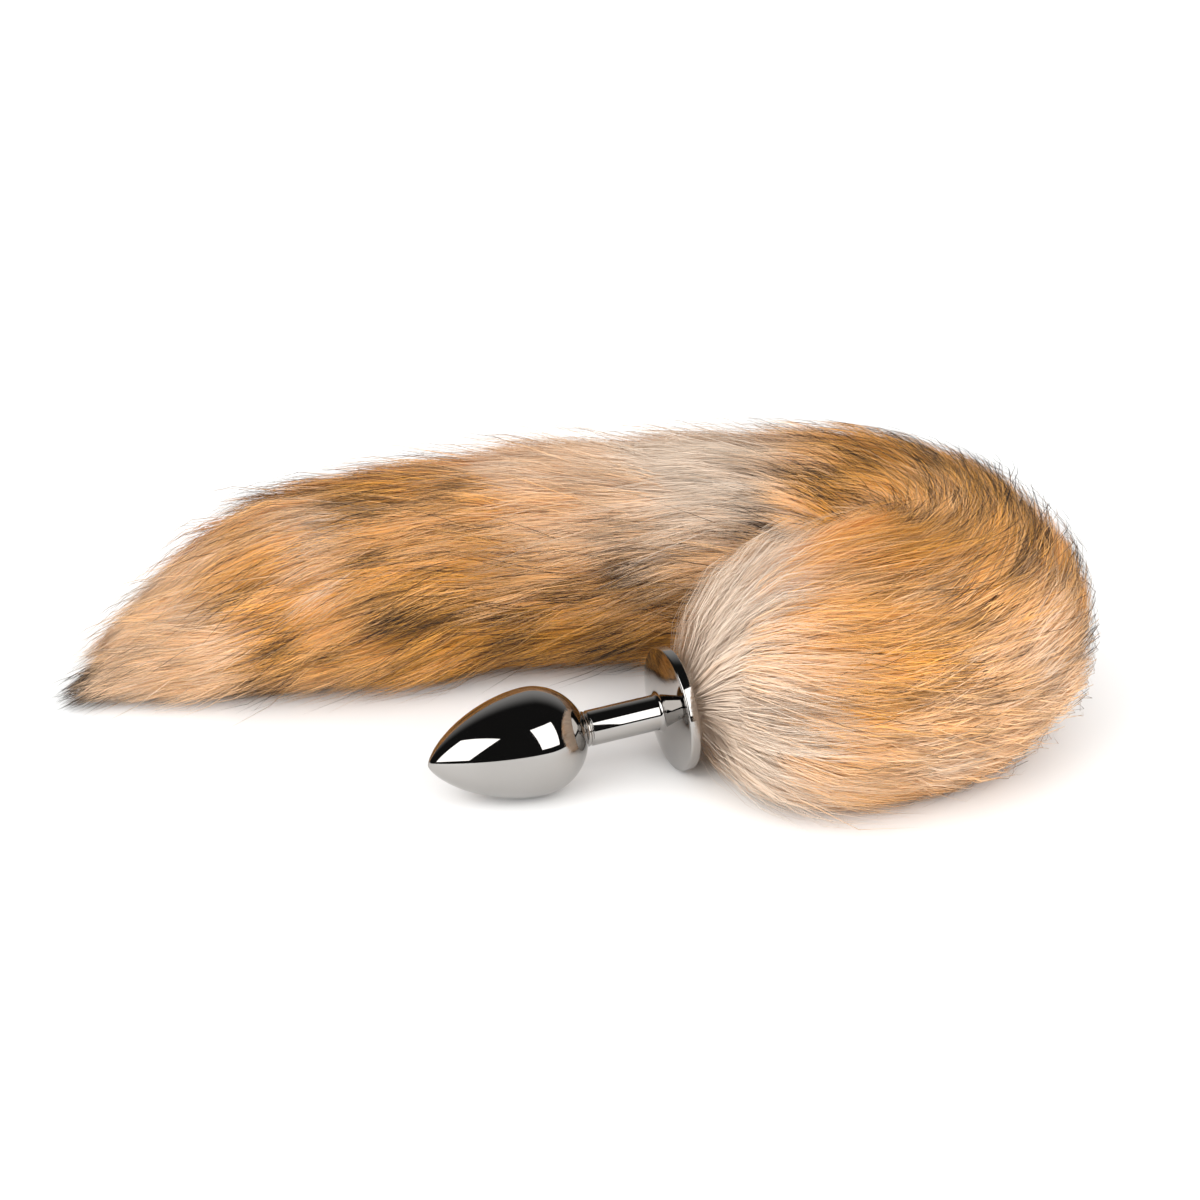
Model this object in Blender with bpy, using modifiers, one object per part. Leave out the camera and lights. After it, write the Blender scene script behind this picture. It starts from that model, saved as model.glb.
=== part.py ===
"""A costume fox tail on a turned metal plug, lying as it would on a table.

Metres, +Z up. The bulb, the flange's rim and the tail's pressed underside all meet z = 0, and the
origin is the middle of the whole object's footprint. The plug points to -X and the tail runs back
from its flange, turns tightly round and comes forward again behind it.
"""

import math
import random
from collections import namedtuple

import bmesh
import bpy
import numpy as np
from mathutils import Matrix, Vector

# Driving sizes of the turned plug, in metres. Lengths run along its axis from the tip.
BULB_RADIUS = 0.014
NOSE_LENGTH = 0.028
NOSE_CURVE = 1.8
NOSE_TAPER = 0.7
STEM_RADIUS = 0.0046
STEM_LENGTH = 0.0206
NECK_FILLET = 0.0012
FLANGE_RADIUS = 0.0162
DOME_HEIGHT = 0.003
RIM_THICKNESS = 0.0027
RIM_ROUND = 0.0005
PLUG_YAW = math.radians(21)

# The pin that carries the tail, and the running gap left at each of its seats.
POST_RADIUS = 0.004
POST_IN_PLUG = 0.003
POST_IN_TAIL = 0.012
CLEARANCE = 0.0003

# Driving sizes of the tail. Its locks stand proud of the solid backing that these give.
TAIL_REACH = 0.150
TAIL_SPREAD = 0.074
TAIL_HALF_WIDTH = 0.032
TAIL_HEIGHT = 0.058
ROOT_RADIUS = 0.0135
LOCK_LENGTH = 0.030
LOCK_HALF_WIDTH = 0.0062
LOCK_HALF_THICKNESS = 0.0034
LOCK_LIFT = 0.0062
LOCK_PITCH = 0.0165
FLOOR_SOFTNESS = 0.004

# How finely the turned and swept shapes are cut. Points crowd towards the nose's tip.
TURN_STEPS = 32
NOSE_POINTS = 12
NOSE_CROWDING = 1.7
POST_POINTS = 24
RING_POINTS = 16
RING_COUNT = 30
LOCK_POINTS = 6

# How the locks are set out: how many stand round a section and between which angles, how much
# they differ, how far the small ones near the tail's tip shrink, and which face of which turn is
# its inside: by the sine of the turn within a lock, and the cosine of the angle around.
LOCKS_AROUND = 6
LOCKS_START = math.radians(-28)
LOCKS_END = math.radians(208)
LOCK_SIZE_SPREAD = 0.15
LOCK_DRIFT = 0.22
LOCK_SLIP = 0.2
LOCK_SLIMMEST = 0.35
INSIDE_TURN = 0.2
INSIDE_FACE = 0.55
SEED = 11

# The tail from root to tip. Reach and spread are shares of TAIL_REACH and TAIL_SPREAD from the
# flange's centre, half_width of TAIL_HALF_WIDTH, and top and belly of TAIL_HEIGHT. A belly below
# zero is a section that its own weight presses flat on the table.
Section = namedtuple("Section", "reach spread half_width top belly")
TAIL_SECTIONS = (
    Section(0.08, 0.03, 0.64, 0.73, 0.00),
    Section(0.17, -0.01, 0.90, 0.94, -0.09),
    Section(0.28, -0.07, 1.02, 1.05, -0.12),
    Section(0.40, -0.02, 1.00, 1.05, -0.12),
    Section(0.48, 0.22, 0.92, 1.02, -0.11),
    Section(0.485, 0.51, 0.88, 0.98, -0.10),
    Section(0.42, 0.77, 0.88, 0.94, -0.10),
    Section(0.29, 0.94, 0.92, 0.92, -0.10),
    Section(0.13, 1.00, 0.94, 0.90, -0.10),
    Section(-0.07, 1.01, 0.92, 0.87, -0.10),
    Section(-0.24, 0.97, 0.90, 0.87, -0.10),
    Section(-0.50, 0.84, 0.86, 0.84, -0.10),
    Section(-0.74, 0.70, 0.76, 0.72, -0.07),
    Section(-0.91, 0.56, 0.45, 0.42, -0.03),
    Section(-1.00, 0.47, 0.12, 0.18, 0.04),
)

# One lock of fur from root to tip: its place along the lock's length, its width and thickness as
# shares of the lock's own, and how far it has risen off the backing as a share of LOCK_LIFT.
LockRing = namedtuple("LockRing", "along width thickness rise")
LOCK_FORM = (
    LockRing(0.00, 0.70, 0.85, -0.50),
    LockRing(0.32, 1.00, 1.00, 0.10),
    LockRing(0.68, 0.66, 0.62, 0.62),
    LockRing(1.00, 0.00, 0.00, 1.00),
)


def start_scene():
    """Clears the scene and returns the object's collection, the cutters' and the parent empty."""
    for obj in list(bpy.data.objects):
        bpy.data.objects.remove(obj)
    pieces = bpy.data.collections.new("fox_tail_plug")
    cutters = bpy.data.collections.new("cutters")
    for collection in (pieces, cutters):
        bpy.context.scene.collection.children.link(collection)
    origin = bpy.data.objects.new("footprint_centre", None)
    pieces.objects.link(origin)
    return pieces, cutters, origin


def material(name, color, roughness, metallic):
    made = bpy.data.materials.new(name)
    made.use_nodes = True
    shader = made.node_tree.nodes["Principled BSDF"]
    shader.inputs["Base Color"].default_value = (*color, 1)
    shader.inputs["Roughness"].default_value = roughness
    shader.inputs["Metallic"].default_value = metallic
    return made


def add_object(name, mesh, collection, parent=None, finish=None):
    obj = bpy.data.objects.new(name, mesh)
    collection.objects.link(obj)
    obj.parent = parent
    if finish:
        mesh.materials.append(finish)
    return obj


def as_cutter(obj):
    obj.hide_render = True
    obj.display_type = "WIRE"
    return obj


def turned(name, profile, collection, parent, finish):
    """A profile of (distance past the tip, radius) points, turned about local Z with the tip up."""
    mesh = bpy.data.meshes.new(name)
    points = [(radius, 0, -along) for along, radius in profile]
    mesh.from_pydata(points, [(i, i + 1) for i in range(len(points) - 1)], [])
    obj = add_object(name, mesh, collection, parent, finish)
    screw = obj.modifiers.new("turn", "SCREW")
    screw.steps = screw.render_steps = TURN_STEPS
    screw.use_merge_vertices = True
    screw.merge_threshold = 0.00001
    screw.use_smooth_shade = True
    return obj


def arc(centre, radius, start, end, count):
    """Points of an arc in the profile's plane, from one angle to another, in degrees."""
    turns = np.radians(np.linspace(start, end, count))
    return [(centre[0] + radius * math.cos(t), centre[1] + radius * math.sin(t)) for t in turns]


def neck_arc(ball_centre, ball_radius, side, count=4):
    """The hollow fillet between a ball on the axis and the stem, from the ball out to the stem."""
    reach = ball_radius + NECK_FILLET
    height = STEM_RADIUS + NECK_FILLET
    along = ball_centre + side * math.sqrt(reach**2 - height**2)
    toward_ball = math.degrees(math.atan2(-height, ball_centre - along)) % 360
    return arc((along, height), NECK_FILLET, toward_ball, 270, count)


def plug_profile():
    """Nose, round back, stem, domed flange, rim and the blind seat of the pin, tip first."""
    shares = np.linspace(0, 1, NOSE_POINTS) ** NOSE_CROWDING
    nose = [
        (s * NOSE_LENGTH, BULB_RADIUS * (1 - (1 - s) ** NOSE_CURVE) ** NOSE_TAPER) for s in shares
    ]
    bulb_neck = neck_arc(NOSE_LENGTH, BULB_RADIUS, 1)
    meets = math.degrees(math.atan2(bulb_neck[0][1], bulb_neck[0][0] - NOSE_LENGTH))
    bulb_back = arc((NOSE_LENGTH, 0), BULB_RADIUS, 90, meets, 8)[1:-1]

    dome_apex = NOSE_LENGTH + math.sqrt(BULB_RADIUS**2 - STEM_RADIUS**2) + STEM_LENGTH
    dome_radius = (FLANGE_RADIUS**2 + DOME_HEIGHT**2) / (2 * DOME_HEIGHT)
    dome_centre = dome_apex + dome_radius
    dome_neck = neck_arc(dome_centre, dome_radius, -1)[::-1]
    inner = math.degrees(math.atan2(dome_neck[-1][1], dome_neck[-1][0] - dome_centre))
    edge = FLANGE_RADIUS - RIM_ROUND
    outer = 180 - math.degrees(math.asin(edge / dome_radius))
    dome = arc((dome_centre, 0), dome_radius, inner, outer, 6)[1:]

    back = flange_back()
    front_round = arc((dome[-1][0] + RIM_ROUND, edge), RIM_ROUND, 180, 90, 4)[1:]
    back_round = arc((back - RIM_ROUND, edge), RIM_ROUND, 90, 0, 4)
    seat_radius = POST_RADIUS + CLEARANCE
    seat_floor = back - POST_IN_PLUG - CLEARANCE
    seat = [(back, seat_radius), (seat_floor, seat_radius), (seat_floor, 0)]
    return nose + bulb_back + bulb_neck + dome_neck + dome + front_round + back_round + seat


def flange_back():
    """Distance from the tip to the flange's flat back."""
    stem_start = NOSE_LENGTH + math.sqrt(BULB_RADIUS**2 - STEM_RADIUS**2)
    return stem_start + STEM_LENGTH + DOME_HEIGHT + RIM_THICKNESS


def lying_pitch(profile):
    """The pitch at which the bulb and the flange's rim both touch the table, and the tip's height."""
    bulb = [point for point in profile if point[0] < NOSE_LENGTH + BULB_RADIUS]
    flange = [point for point in profile if point[0] > NOSE_LENGTH + BULB_RADIUS]

    def lowest(points, pitch):
        return min(s * math.sin(pitch) - r * math.cos(pitch) for s, r in points)

    low, high = math.radians(-45), math.radians(45)
    for _ in range(50):
        pitch = (low + high) / 2
        if lowest(bulb, pitch) > lowest(flange, pitch):
            low = pitch
        else:
            high = pitch
    return pitch, -lowest(bulb, pitch)


def plug_frame(pitch, tip_height):
    """The plug's placement: the flange's back centre stands over the world's origin."""
    axis = Vector(
        (
            math.cos(PLUG_YAW) * math.cos(pitch),
            math.sin(PLUG_YAW) * math.cos(pitch),
            math.sin(pitch),
        )
    )
    side = Vector((0, 0, 1)).cross(axis).normalized()
    down = side.cross(axis)
    turn = Matrix((down, (-axis).cross(down), -axis)).transposed().to_4x4()
    tip = Vector((0, 0, tip_height)) - Vector((axis.x, axis.y, 0)) * flange_back()
    return Matrix.Translation(tip) @ turn, axis


def smooth_rows(rows, place):
    """The tail's sections blended at a place from 0 at the root to 1 at the tip, and the heading.

    Past the tip the run goes straight on at the last section's size.
    """
    steps = np.linalg.norm(np.diff(rows[:, :2], axis=0), axis=1)
    knots = np.concatenate([[0], np.cumsum(steps)]) / steps.sum()
    slopes = np.gradient(rows, knots, axis=0)
    inside = min(max(place, 0), 1)
    k = min(int(np.searchsorted(knots, inside, side="right")) - 1, len(knots) - 2)
    span = knots[k + 1] - knots[k]
    t = (inside - knots[k]) / span
    row = (
        (2 * t**3 - 3 * t**2 + 1) * rows[k]
        + (t**3 - 2 * t**2 + t) * span * slopes[k]
        + (3 * t**2 - 2 * t**3) * rows[k + 1]
        + (t**3 - t**2) * span * slopes[k + 1]
    )
    heading = (
        (6 * t**2 - 6 * t) * (rows[k] - rows[k + 1]) / span
        + (3 * t**2 - 4 * t + 1) * slopes[k]
        + (3 * t**2 - 2 * t) * slopes[k + 1]
    )[:2]
    row[:2] += (place - inside) * heading
    return row, heading / np.linalg.norm(heading)


class Tail:
    """The tail's backing: where its surface is, by the place along it and the angle around it."""

    def __init__(self, frame, axis, parent):
        scale = (TAIL_REACH, TAIL_SPREAD, TAIL_HALF_WIDTH, TAIL_HEIGHT, TAIL_HEIGHT)
        self.axis = axis
        self.parent = parent
        self.root = frame @ Vector((0, 0, -flange_back() - CLEARANCE))
        first = [self.root.x, self.root.y, ROOT_RADIUS]
        first += [self.root.z + ROOT_RADIUS, self.root.z - ROOT_RADIUS]
        sections = [[share * size for share, size in zip(row, scale)] for row in TAIL_SECTIONS]
        self.rows = np.array([first] + sections)
        self.length = np.linalg.norm(np.diff(self.rows[:, :2], axis=0), axis=1).sum()

    def skin(self, place, around):
        """A point of the backing, its outward direction and the direction around the section."""
        (x, y, half_width, top, belly), heading = smooth_rows(self.rows, place)
        left = Vector((-heading[1], heading[0], 0))
        up = Vector((0, 0, 1))
        middle, half_height = (top + belly) / 2, (top - belly) / 2
        cos, sin = math.cos(around), math.sin(around)
        point = Vector((x, y, 0)) + left * half_width * cos + up * (middle + half_height * sin)
        point.z = max(point.z, 0)
        outward = (left * cos * half_height + up * sin * half_width).normalized()
        around_it = (up * cos * half_height - left * sin * half_width).normalized()
        return point, outward, around_it

    def ring(self, place):
        if place == 0:
            return [self.root_point(2 * math.pi * i / RING_POINTS) for i in range(RING_POINTS)]
        angles = [2 * math.pi * i / RING_POINTS for i in range(RING_POINTS)]
        return [self.skin(place, angle)[0] for angle in angles]

    def root_point(self, around):
        """A point of the flat root face, square to the plug's axis."""
        left = Vector((0, 0, 1)).cross(self.axis).normalized()
        up = self.axis.cross(left)
        return self.root + ROOT_RADIUS * (left * math.cos(around) + up * math.sin(around))


def loft(shape, rings, tip=None):
    """Joins rings of equally many points into a closed form, with a flat start and end or a tip."""
    rows = [[shape.verts.new(point) for point in ring] for ring in rings]
    count = len(rows[0])
    for first, second in zip(rows, rows[1:]):
        for i in range(count):
            j = (i + 1) % count
            shape.faces.new((first[i], first[j], second[j], second[i]))
    shape.faces.new(rows[0][::-1])
    if tip is None:
        shape.faces.new(rows[-1])
        return
    end = shape.verts.new(tip)
    for i in range(count):
        shape.faces.new((rows[-1][i], rows[-1][(i + 1) % count], end))


def off_the_table(point):
    """Eases a point that would reach below the table to just above it."""
    if point.z < FLOOR_SOFTNESS:
        point.z = FLOOR_SOFTNESS * math.exp(point.z / FLOOR_SOFTNESS - 1)
    return point


def add_lock(locks, tail, place, around, size, drift):
    """One pointed lock, rooted in the backing and lying along it like a shingle."""
    half_width = smooth_rows(tail.rows, place)[0][2]
    scale = size * min(1, LOCK_SLIMMEST + (1 - LOCK_SLIMMEST) * half_width / TAIL_HALF_WIDTH)
    rings = []
    for form in LOCK_FORM:
        spot = place + form.along * size * LOCK_LENGTH / tail.length
        point, outward, around_it = tail.skin(spot, around + drift * form.along)
        centre = point + outward * form.rise * LOCK_LIFT * scale
        ring = []
        for i in range(LOCK_POINTS):
            angle = 2 * math.pi * i / LOCK_POINTS
            across = around_it * math.cos(angle) * form.width * LOCK_HALF_WIDTH
            through = outward * math.sin(angle) * form.thickness * LOCK_HALF_THICKNESS
            ring.append(off_the_table(centre + (across + through) * scale))
        rings.append(ring)
    shape = bmesh.new()
    loft(shape, rings[:-1], tip=rings[-1][0])
    as_cutter(add_object("lock", closed_mesh("lock", shape), locks, tail.parent))


def lock_places(tail):
    """Rows of locks along the tail, each row half a step round from the last.

    The underside that the table presses and the inside of the tight turn carry none.
    """
    rng = random.Random(SEED)
    pitch, length = LOCK_PITCH / tail.length, LOCK_LENGTH / tail.length
    for row in range(int((1 - length / 2) / pitch)):
        place = (row + 0.8) * pitch
        _, heading = smooth_rows(tail.rows, place)
        _, later = smooth_rows(tail.rows, place + length)
        turns_left = heading[0] * later[1] - heading[1] * later[0] > INSIDE_TURN
        for i in range(LOCKS_AROUND):
            share = (i + 0.5 * (row % 2)) / (LOCKS_AROUND - 0.5)
            around = LOCKS_START + (LOCKS_END - LOCKS_START) * share
            size = 1 + rng.uniform(-LOCK_SIZE_SPREAD, LOCK_SIZE_SPREAD)
            drift = rng.uniform(-LOCK_DRIFT, LOCK_DRIFT)
            slip = rng.uniform(-LOCK_SLIP, LOCK_SLIP) * pitch
            if not (turns_left and math.cos(around) > INSIDE_FACE):
                yield place + slip, around, size, drift


def closed_mesh(name, shape):
    bmesh.ops.recalc_face_normals(shape, faces=shape.faces)
    mesh = bpy.data.meshes.new(name)
    shape.to_mesh(mesh)
    shape.free()
    return mesh


def outer_shell(mesh):
    """Fills the pockets that crossing locks close off, by keeping only the outermost surface."""
    shape = bmesh.new()
    shape.from_mesh(mesh)
    left, shells = set(shape.faces), []
    while left:
        shell, found = [], [left.pop()]
        while found:
            face = found.pop()
            shell.append(face)
            near = {other for edge in face.edges for other in edge.link_faces} & left
            found.extend(near)
            left -= near
        shells.append(shell)
    shells.sort(key=len)
    for pocket in shells[:-1]:
        bmesh.ops.delete(shape, geom=pocket, context="FACES")
    shape.to_mesh(mesh)
    shape.free()


def make_plug(pieces, origin, frame, profile):
    steel = material("polished_metal", (0.62, 0.60, 0.57), 0.08, 1)
    plug = turned("plug_body", profile, pieces, origin, steel)
    plug.matrix_local = frame
    return plug


def make_post(pieces, origin, frame):
    """The hidden pin, seated in the flange's back and in the tail's root."""
    length = POST_IN_PLUG + POST_IN_TAIL
    bpy.ops.mesh.primitive_cylinder_add(vertices=POST_POINTS, radius=POST_RADIUS, depth=length)
    post = bpy.context.object
    post.name = post.data.name = "tail_post"
    bpy.context.collection.objects.unlink(post)
    pieces.objects.link(post)
    post.data.materials.append(material("post_steel", (0.5, 0.5, 0.5), 0.35, 1))
    post.data.shade_smooth()
    post.data.set_sharp_from_angle(angle=math.radians(30))
    post.parent = origin
    middle = flange_back() - POST_IN_PLUG + length / 2
    post.matrix_local = frame @ Matrix.Translation((0, 0, -middle))
    return post


def make_bore(cutters, origin, frame):
    """The cutter of the tail's socket. It runs a little out of the root face."""
    outside = POST_RADIUS
    depth = POST_IN_TAIL + CLEARANCE + outside
    radius = POST_RADIUS + CLEARANCE
    bpy.ops.mesh.primitive_cylinder_add(vertices=POST_POINTS, radius=radius, depth=depth)
    bore = as_cutter(bpy.context.object)
    bore.name = "post_bore"
    bpy.context.collection.objects.unlink(bore)
    cutters.objects.link(bore)
    bore.parent = origin
    middle = flange_back() - outside + depth / 2
    bore.matrix_local = frame @ Matrix.Translation((0, 0, -middle))
    return bore


def make_tail(pieces, cutters, origin, frame, axis):
    """The backing with its locks fused to it and the pin's socket cut in its root.

    The locks cross one another, which the exact solver does not join cleanly, so each lock is its
    own closed operand of the manifold solver.
    """
    tail = Tail(frame, axis, origin)
    backing = bmesh.new()
    loft(backing, [tail.ring(i / (RING_COUNT - 1)) for i in range(RING_COUNT)])
    fur = material("golden_fur", (0.55, 0.30, 0.11), 0.85, 0)
    body = add_object("backing", closed_mesh("backing", backing), pieces, origin, fur)

    locks = bpy.data.collections.new("locks")
    cutters.children.link(locks)
    for place, around, size, drift in lock_places(tail):
        add_lock(locks, tail, place, around, size, drift)

    union = body.modifiers.new("fuse_locks", "BOOLEAN")
    union.operation, union.solver = "UNION", "MANIFOLD"
    union.operand_type, union.collection = "COLLECTION", locks
    socket = body.modifiers.new("post_socket", "BOOLEAN")
    socket.operation, socket.solver = "DIFFERENCE", "MANIFOLD"
    socket.object = make_bore(cutters, origin, frame)

    bpy.context.view_layer.update()
    graph = bpy.context.evaluated_depsgraph_get()
    fused = bpy.data.meshes.new_from_object(body.evaluated_get(graph))
    outer_shell(fused)
    bpy.data.objects.remove(body)
    return add_object("fur_tail", fused, pieces, origin)


def centre_footprint(origin, nodes):
    """Moves the parent empty so that the world's origin is the middle of the footprint."""
    bpy.context.view_layer.update()
    graph = bpy.context.evaluated_depsgraph_get()
    corners = []
    for node in nodes:
        seen = node.evaluated_get(graph)
        corners += [seen.matrix_world @ vert.co for vert in seen.data.vertices]
    for side in (0, 1):
        values = [corner[side] for corner in corners]
        origin.location[side] -= (min(values) + max(values)) / 2


def main():
    pieces, cutters, origin = start_scene()
    profile = plug_profile()
    frame, axis = plug_frame(*lying_pitch(profile))
    plug = make_plug(pieces, origin, frame, profile)
    post = make_post(pieces, origin, frame)
    tail = make_tail(pieces, cutters, origin, frame, axis)
    centre_footprint(origin, (plug, post, tail))


main()
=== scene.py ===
"""The looks of a costume fox tail on a polished metal plug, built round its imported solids."""

import math
from collections import namedtuple

import bpy
import numpy as np
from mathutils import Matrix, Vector


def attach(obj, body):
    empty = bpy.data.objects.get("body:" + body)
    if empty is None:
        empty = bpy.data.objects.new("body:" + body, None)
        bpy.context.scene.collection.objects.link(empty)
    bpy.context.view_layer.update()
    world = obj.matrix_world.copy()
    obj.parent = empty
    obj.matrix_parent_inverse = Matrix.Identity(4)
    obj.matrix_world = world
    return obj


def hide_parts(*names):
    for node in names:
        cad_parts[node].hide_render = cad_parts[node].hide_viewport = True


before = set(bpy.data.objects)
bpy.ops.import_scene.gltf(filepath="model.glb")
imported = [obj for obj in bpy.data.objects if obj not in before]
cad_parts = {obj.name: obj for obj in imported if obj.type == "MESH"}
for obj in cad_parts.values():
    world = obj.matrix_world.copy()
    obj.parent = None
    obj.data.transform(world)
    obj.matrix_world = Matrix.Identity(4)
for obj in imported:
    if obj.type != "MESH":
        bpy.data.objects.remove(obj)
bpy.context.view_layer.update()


# The camera stands where the photograph was taken from: the middle of the flange's front rim falls
# on the same pixel of a 1200 pixel square, at the same size, seen from the same height.
PHOTO_SIDE = 1200
RIM_PIXEL = (668.0, 709.4)
PIXELS_PER_METRE = 3915
CAMERA_HEIGHT = math.radians(26)
CAMERA_DISTANCE = 0.9
SENSOR = 36
PLUG_YAW = math.radians(21)
NOSE_TO_RIM = 0.0648


def plug_placement():
    """The plug's tip and the unit vector from its tip to its flange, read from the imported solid."""
    corners = [vertex.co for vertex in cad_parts["plug_body"].data.vertices]
    points = np.unique(np.round(corners, 6), axis=0)
    heading = np.array([math.cos(PLUG_YAW), math.sin(PLUG_YAW), 0])
    tip = points[(points @ heading).argmin()]
    return Vector(tip), Vector(points.mean(axis=0) - tip).normalized()


plug_tip, plug_axis = plug_placement()
rim_centre = plug_tip + plug_axis * NOSE_TO_RIM

camera = bpy.data.objects.new("camera", bpy.data.cameras.new("camera"))
bpy.context.scene.collection.objects.link(camera)
bpy.context.scene.camera = camera
focal_pixels = PIXELS_PER_METRE * CAMERA_DISTANCE
camera.data.sensor_width = SENSOR
camera.data.lens = focal_pixels / PHOTO_SIDE * SENSOR
forward = Vector((0, math.cos(CAMERA_HEIGHT), -math.sin(CAMERA_HEIGHT)))
rightward = Vector((1, 0, 0))
upward = rightward.cross(forward)
sight = forward * focal_pixels
sight += rightward * (RIM_PIXEL[0] - PHOTO_SIDE / 2) + upward * (PHOTO_SIDE / 2 - RIM_PIXEL[1])
camera.location = rim_centre - sight / PIXELS_PER_METRE
camera.rotation_euler = (math.pi / 2 - CAMERA_HEIGHT, 0, 0)


# The plug: tapered bulb, thin stem and domed flange, turned from one bar of light metal, plated
# and polished to a mirror. A shallow turned groove marks the bulb's neck, and the flange's back
# has a blind seat for the tail's pin.
BULB_RADIUS = 0.014
NOSE_LENGTH = 0.028
NOSE_CURVE, NOSE_TAPER = 1.8, 0.7
STEM_RADIUS = 0.0046
NECK_FILLET = 0.0012
FLANGE_RADIUS = 0.0162
DOME_HEIGHT = 0.003
RIM_THICKNESS = 0.0027
RIM_ROUND = 0.0005
PLUG_LENGTH = NOSE_TO_RIM + RIM_THICKNESS
GROOVE_START, GROOVE_WIDTH, GROOVE_DEPTH = 0.1, 0.0011, 0.0003
SEAT_RADIUS, SEAT_DEPTH = 0.0043, 0.0033
TURN_STEPS = 144
NOSE_STEPS, BULB_STEPS, FILLET_STEPS, GROOVE_STEPS, DOME_STEPS, ROUND_STEPS = 44, 26, 9, 10, 24, 8
SHARP_EDGE = math.radians(50)


def arc(centre, radius, start, end, count):
    turns = np.radians(np.linspace(start, end, count))
    return [(centre[0] + radius * math.cos(t), centre[1] + radius * math.sin(t)) for t in turns]


def neck_arc(ball_centre, ball_radius, side):
    """The hollow fillet from a ball on the axis down to the stem, behind it or before it."""
    reach, height = ball_radius + NECK_FILLET, STEM_RADIUS + NECK_FILLET
    along = ball_centre + side * math.sqrt(reach**2 - height**2)
    meets = math.degrees(math.atan2(-height, ball_centre - along))
    return arc((along, height), NECK_FILLET, meets, -90, FILLET_STEPS)


def plug_profile():
    """Points (distance past the tip, radius) down the plug's outside and into its seat."""
    nose = [
        (share * NOSE_LENGTH, BULB_RADIUS * (1 - (1 - share) ** NOSE_CURVE) ** NOSE_TAPER)
        for share in np.linspace(0, 1, NOSE_STEPS) ** 2
    ]
    bulb_neck = neck_arc(NOSE_LENGTH, BULB_RADIUS, 1)
    meets = math.degrees(math.atan2(bulb_neck[0][1], bulb_neck[0][0] - NOSE_LENGTH))
    bulb_back = arc((NOSE_LENGTH, 0), BULB_RADIUS, 90, meets, BULB_STEPS)[1:-1]
    groove_at = bulb_neck[-1][0]
    groove = [
        (groove_at + GROOVE_WIDTH * t, STEM_RADIUS - GROOVE_DEPTH * math.sin(math.pi * t) ** 2)
        for t in np.linspace(GROOVE_START, 1, GROOVE_STEPS)
    ]
    dome_radius = (FLANGE_RADIUS**2 + DOME_HEIGHT**2) / (2 * DOME_HEIGHT)
    dome_centre = NOSE_TO_RIM - DOME_HEIGHT + dome_radius
    dome_neck = neck_arc(dome_centre, dome_radius, -1)[::-1]
    edge = FLANGE_RADIUS - RIM_ROUND
    inner = math.degrees(math.atan2(dome_neck[-1][1], dome_neck[-1][0] - dome_centre))
    outer = 180 - math.degrees(math.asin(edge / dome_radius))
    dome = arc((dome_centre, 0), dome_radius, inner, outer, DOME_STEPS)[1:]
    front_round = arc((dome[-1][0] + RIM_ROUND, edge), RIM_ROUND, 180, 90, ROUND_STEPS)[1:]
    back_round = arc((PLUG_LENGTH - RIM_ROUND, edge), RIM_ROUND, 90, 0, ROUND_STEPS)
    floor = PLUG_LENGTH - SEAT_DEPTH
    seat = [(PLUG_LENGTH, SEAT_RADIUS), (floor, SEAT_RADIUS), (floor, 0)]
    front = nose + bulb_back + bulb_neck + groove
    return front + dome_neck + dome + front_round + back_round + seat


def mesh_object(name, points, faces):
    mesh = bpy.data.meshes.new(name)
    mesh.from_pydata(points, [], faces)
    piece = bpy.data.objects.new(name, mesh)
    bpy.context.scene.collection.objects.link(piece)
    return piece


def turned(name, profile, tip, axis):
    """A profile turned about the axis, as a closed mesh in its place."""
    side = Vector((0, 0, 1)).cross(axis).normalized()
    down = side.cross(axis)
    angles = np.linspace(0, 2 * math.pi, TURN_STEPS, endpoint=False)
    spokes = [down * math.cos(angle) + side * math.sin(angle) for angle in angles]
    points, faces, rings = [], [], []
    for along, radius in profile:
        middle = tip + axis * along
        if radius == 0:
            rings.append([len(points)] * TURN_STEPS)
            points.append(middle)
            continue
        rings.append(list(range(len(points), len(points) + TURN_STEPS)))
        points += [middle + spoke * radius for spoke in spokes]
    for first, second in zip(rings, rings[1:]):
        for i in range(TURN_STEPS):
            j = (i + 1) % TURN_STEPS
            faces.append(tuple(dict.fromkeys((first[i], second[i], second[j], first[j]))))
    piece = mesh_object(name, points, faces)
    piece.data.shade_smooth()
    piece.data.set_sharp_from_angle(angle=SHARP_EDGE)
    return piece


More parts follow.
